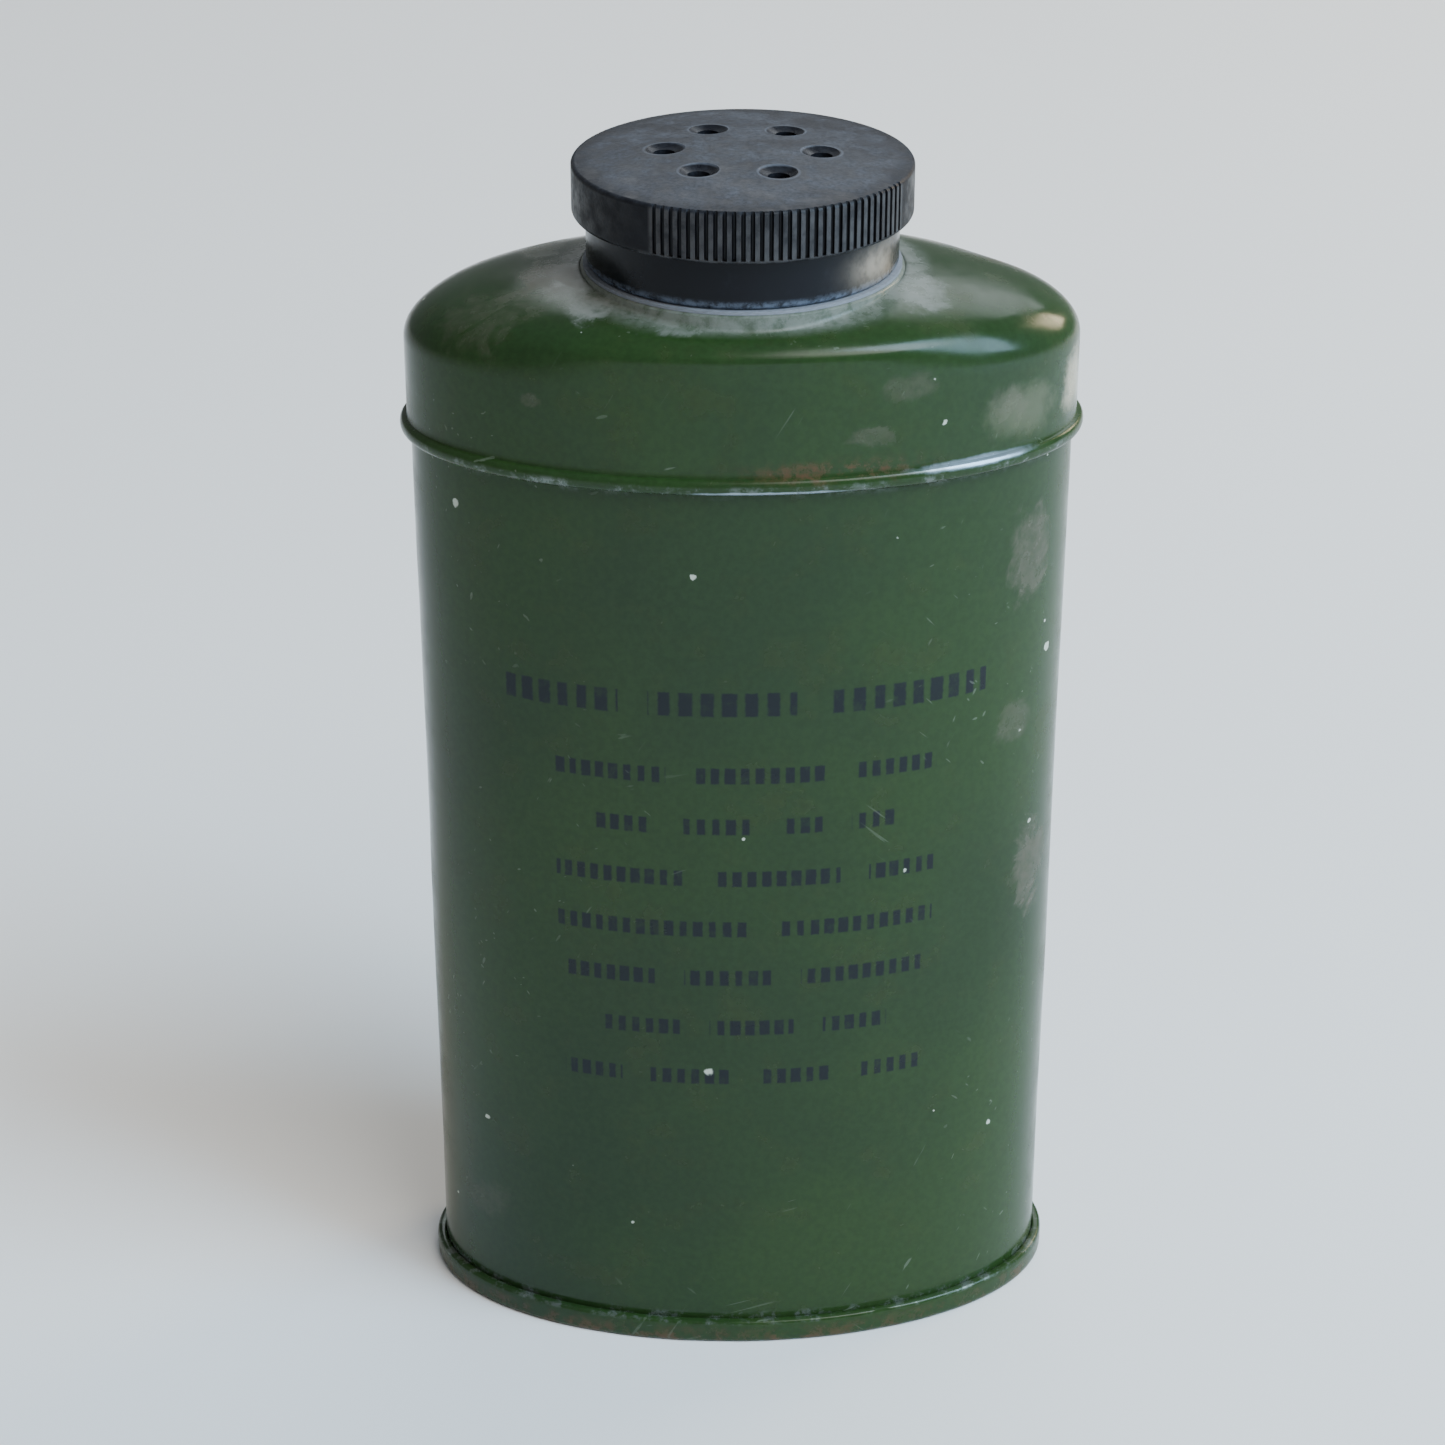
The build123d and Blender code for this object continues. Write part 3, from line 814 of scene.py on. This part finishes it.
def gloss_moulding():
    """Collar: gloss black moulding with a bloom of dust at its foot and a painted warm reflection.
    """
    n = Nodes("gloss_black_moulding")
    smear = n.noise(0.35, 4, 0.6)
    speckle = n.step(n.noise(1.4, 4, 0.7), 0.35, 0.62, 0.15, 1.0)
    dust = n.times(n.step(n.z, washer_top + 1.0, washer_top + 0.3), speckle)
    dust = n.add(dust, n.step(smear, 0.55, 0.8, 0.0, 0.06))
    colour = n.mix(dust, BLACK_GLOSS, BLUE_DUST)
    # painted warm reflection on the collar's right front
    painted_warm_reflection = n.near((11.8, -8.2, 111.2), (2.6, 4.0, 1.8))
    painted_warm_reflection = n.times(painted_warm_reflection, n.step(n.noise(0.7, 3, 0.6), 0.3, 0.6, 0.5, 0.85))
    n.set(
        Base_Color=n.mix(painted_warm_reflection, colour, WARM_GLOW_REFLECTION),
        Roughness=n.add(n.step(smear, 0.3, 0.7, 0.12, 0.26), n.times(dust, 0.5)),
        Normal=n.bump(n.noise(0.8, 3, 0.5), 0.15, 0.05), Specular_IOR_Level=0.15,
    )
    return n.material


def distance_to_hole(n, reach):
    """Level distance to the nearest of the rotor's hole axes."""
    sector = 2 * math.pi / HOLE_COUNT
    turn = n.math("ARCTAN2", n.y, n.x)
    turn = n.add(turn, sector * (2 * HOLE_COUNT + 0.5) - math.radians(HOLE_PHASE))
    turn = n.minus(n.math("MODULO", turn, sector), sector / 2)
    along = n.minus(n.times(reach, n.math("COSINE", turn)), HOLE_RING)
    across = n.times(reach, n.math("SINE", turn))
    return n.math("SQRT", n.add(n.times(along, along), n.times(across, across)))


def on_knurls(n, reach):
    """1 on the crests of the two knurled sectors."""
    toward = math.radians(KNURL_CENTRE)
    across = n.add(n.times(n.x, math.cos(toward)), n.times(n.y, math.sin(toward)))
    across = n.math("ABSOLUTE", n.math("DIVIDE", across, reach))
    limit = math.cos(math.radians(KNURL_HALF))
    crest = n.step(reach, rotor_radius - 0.16, rotor_radius - 0.02)
    return n.times(crest, n.step(across, limit - 0.01, limit + 0.01))


def dusty_moulding():
    """Rotor: black moulding gone grey with dust and handling, darker in its grooves."""
    n = Nodes("dusty_black_moulding")
    reach = n.reach()
    from_hole = distance_to_hole(n, reach)
    blotch = n.noise(0.16, 4, 0.6, distortion=0.8)
    mottle = n.noise(0.55, 5, 0.65)
    grain = n.noise(2.6, 4, 0.7)

    # the top: dust, thinner towards the rim and thick on the dishes' lips
    dust = n.add(n.step(blotch, 0.3, 0.7, 0.08, 0.42), n.step(mottle, 0.4, 0.7, 0, 0.5))
    dust = n.times(dust, n.step(grain, 0.3, 0.65, 0.35, 1.0))
    dust = n.times(dust, n.step(reach, rotor_radius - 0.6, rotor_radius - 2.2, 0.4, 1))
    lip = n.times(n.level(from_hole, DISH - 0.08, DISH + 0.2, 0.14), 0.9)
    dust = n.most(dust, n.times(lip, n.step(mottle, 0.3, 0.6, 0.4, 1.0)))
    # painted shade: the dishes keep a quarter of the dust, so they read darker
    in_dish = n.step(from_hole, DISH + 0.02, DISH - 0.15)
    dust = n.times(dust, n.minus(1.0, n.times(in_dish, 0.75)))

    # the side: crests of the knurls and the lower edge rubbed grey
    worn = n.times(on_knurls(n, reach), n.step(mottle, 0.35, 0.65, 0.12, 0.42))
    lower_edge = n.level(n.z, rotor_bottom, rotor_bottom + 0.35, 0.25)
    worn = n.most(worn, n.times(lower_edge, n.step(mottle, 0.4, 0.7, 0.0, 0.5)))

    top = n.step(n.z, rotor_top - 1.35, rotor_top - 1.05)
    dust = n.add(n.times(dust, top), n.times(worn, n.minus(1.0, top)))
    rough = n.minus(n.step(mottle, 0.3, 0.7, 0.36, 0.6), n.times(in_dish, 0.15))
    height = n.add(n.times(grain, 0.6), mottle)
    n.set(
        Base_Color=n.mix(dust, BLACK_MATT, n.mix(top, SIDE_DUST, TOP_DUST)),
        Roughness=rough, Normal=n.bump(height, 0.4, 0.08), Specular_IOR_Level=0.2,
    )
    return n.material


def card():
    """Grey waxed card of the washer."""
    n = Nodes("waxed_card")
    fibre = n.noise(1.8, 4, 0.7, n.stretched((1, 1, 5)))
    n.set(
        Base_Color=n.mix(fibre, (0.10, 0.11, 0.13), (0.26, 0.27, 0.30)), Roughness=0.75,
        Normal=n.bump(fibre, 0.5, 0.08),
    )
    return n.material


def metal(name, light, dark, rough):
    """Plain worked metal with fine marks."""
    n = Nodes(name)
    marks = n.noise(2.5, 4, 0.6, n.stretched((1, 1, 6)))
    n.set(
        Base_Color=n.mix(marks, dark, light), Metallic=1.0,
        Roughness=n.step(marks, 0.3, 0.7, rough, rough + 0.15),
        Normal=n.bump(marks, 0.2, 0.03),
    )
    return n.material


def inside_tin():
    """Dull bare tinplate inside the tin, with traces of powder clinging to it."""
    n = Nodes("bare_tinplate_inside")
    streaks = n.noise(0.5, 4, 0.6, n.stretched((1, 1, 0.25)))
    powder = n.step(n.noise(0.11, 5, 0.62), 0.3, 0.7, 0.15, 0.6)
    powder = n.math("MULTIPLY", powder, n.step(n.z, body_top, 5, 0.6, 1.4), clamp=True)
    plate = n.mix(streaks, (0.34, 0.34, 0.33), (0.58, 0.57, 0.55))
    n.set(
        Base_Color=n.mix(powder, plate, (0.72, 0.71, 0.68)),
        Metallic=n.times(n.minus(1.0, powder), 0.8),
        Roughness=n.add(n.step(streaks, 0.3, 0.7, 0.28, 0.42), n.times(powder, 0.4)),
        Normal=n.bump(streaks, 0.2, 0.04),
    )
    return n.material


def dress(piece, *materials):
    """Fills a piece's material slots."""
    slots = piece.data.materials
    for index, material in enumerate(materials):
        if index < len(slots):
            slots[index] = material
        else:
            slots.append(material)


# ---------------------------------------------------------------- floor, lights and camera

FLOOR_HALF = 3.0           # metres
SURROUND = (0.9, 0.95, 1, 1)
SURROUND_STRENGTH = 0.28
CAMERA_PLACE = (-9.166, -292.276, 210.202)
CAMERA_DOWN, CAMERA_PAN, CAMERA_ROLL = 26.968, 1.4406, 0.018  # degrees
CAMERA_LENS = 83.56        # for a sensor 36 mm wide


def add_light(name, lamp, way, place=(0, 0, 0)):
    """Puts a lamp in the scene, shining along a direction."""
    obj = bpy.data.objects.new(name, lamp)
    obj.location = place
    obj.rotation_euler = Vector(way).to_track_quat("-Z", "Y").to_euler()
    bpy.context.scene.collection.objects.link(obj)


def area_light(name, place, aim, size, power, colour):
    """Rectangular panel, with its place, aim and size in metres."""
    lamp = bpy.data.lights.new(name, "AREA")
    lamp.shape = "RECTANGLE"
    lamp.size, lamp.size_y = size
    lamp.energy = power
    lamp.color = colour
    add_light(name, lamp, Vector(aim) - Vector(place), place)


def soft_sun(source, strength, colour):
    """Broad even light over the whole floor, from one direction."""
    lamp = bpy.data.lights.new("soft_sun", "SUN")
    lamp.energy = strength
    lamp.angle = math.radians(35)
    lamp.color = colour
    add_light("soft_sun", lamp, -Vector(source))


def make_stage():
    """Pale floor that the tin stands on, and an even pale surround."""
    mesh = bpy.data.meshes.new("floor")
    work = bmesh.new()
    bmesh.ops.create_grid(work, x_segments=8, y_segments=8, size=FLOOR_HALF)
    work.to_mesh(mesh)
    work.free()
    floor = bpy.data.objects.new("floor", mesh)
    bpy.context.scene.collection.objects.link(floor)
    n = Nodes("pale_floor")
    n.set(
        Base_Color=n.mix(n.noise(0.004, 2, 0.5), (0.80, 0.80, 0.80), (0.84, 0.84, 0.84)),
        Roughness=0.9, Specular_IOR_Level=0.1,
    )
    dress(floor, n.material)
    world = bpy.data.worlds.new("surround")
    world.use_nodes = True
    background = world.node_tree.nodes["Background"]
    background.inputs["Color"].default_value = SURROUND
    background.inputs["Strength"].default_value = SURROUND_STRENGTH
    bpy.context.scene.world = world


def make_camera():
    """Camera a little left of the middle of the front, looking down at the tin."""
    camera = bpy.data.cameras.new("camera")
    camera.sensor_width = 36
    camera.lens = CAMERA_LENS
    camera.clip_start = 0.01
    obj = bpy.data.objects.new("camera", camera)
    down, pan, roll = (math.radians(a) for a in (CAMERA_DOWN, CAMERA_PAN, CAMERA_ROLL))
    forward = Vector((
        math.sin(pan) * math.cos(down), math.cos(pan) * math.cos(down), -math.sin(down)
    ))
    right = forward.cross(Vector((0, 0, 1))).normalized()
    up = right.cross(forward)
    right, up = (
        right * math.cos(roll) + up * math.sin(roll),
        up * math.cos(roll) - right * math.sin(roll),
    )
    obj.rotation_euler = Matrix((right, up, -forward)).transposed().to_euler()
    obj.location = Vector(CAMERA_PLACE) * MM
    bpy.context.scene.collection.objects.link(obj)
    bpy.context.scene.camera = obj


# ---------------------------------------------------------------- the scene

make_camera()
make_stage()
area_light("sky_panel", (0.62, -0.3, 0.6), (0, 0, 0.1), (0.4, 0.85), 15, (0.50, 0.76, 1.0))
area_light("back_panel", (0.2, 0.75, 0.7), (0, 0, 0.1), (0.8, 0.4), 3, (0.9, 0.95, 1.0))
area_light("front_panel", (0.3, -0.6, 0.75), (0, 0, 0.06), (0.5, 0.4), 1.5, (1.0, 0.97, 0.9))
area_light("warm_panel", (0.75, 0.5, 0.45), (0.12, 0.05, 0), (0.3, 0.3), 4, (1.0, 0.82, 0.55))
soft_sun((0.45, -0.5, 0.9), 1.5, (1.0, 0.98, 0.93))

bare = inside_tin()
dress(make_body(), body_material(), bare)
dress(make_base(), base_material(), bare)
dress(make_cover(), cover_material(), bare)
steel = metal("plain_steel", (0.55, 0.55, 0.56), (0.35, 0.35, 0.36), 0.3)
dress(nodes["sifter_collar"], gloss_moulding())
dress(nodes["sifter_rotor"], dusty_moulding())
dress(nodes["neck_washer"], card())
dress(nodes["collar_clip"], metal("bright_tinplate", (0.70, 0.70, 0.69), (0.45, 0.45, 0.46), 0.22))
dress(nodes["spring_washer"], steel)
dress(nodes["pivot_washer"], steel)
dress(nodes["pivot_screw"], metal("turned_brass", (0.72, 0.55, 0.25), (0.48, 0.36, 0.16), 0.25))
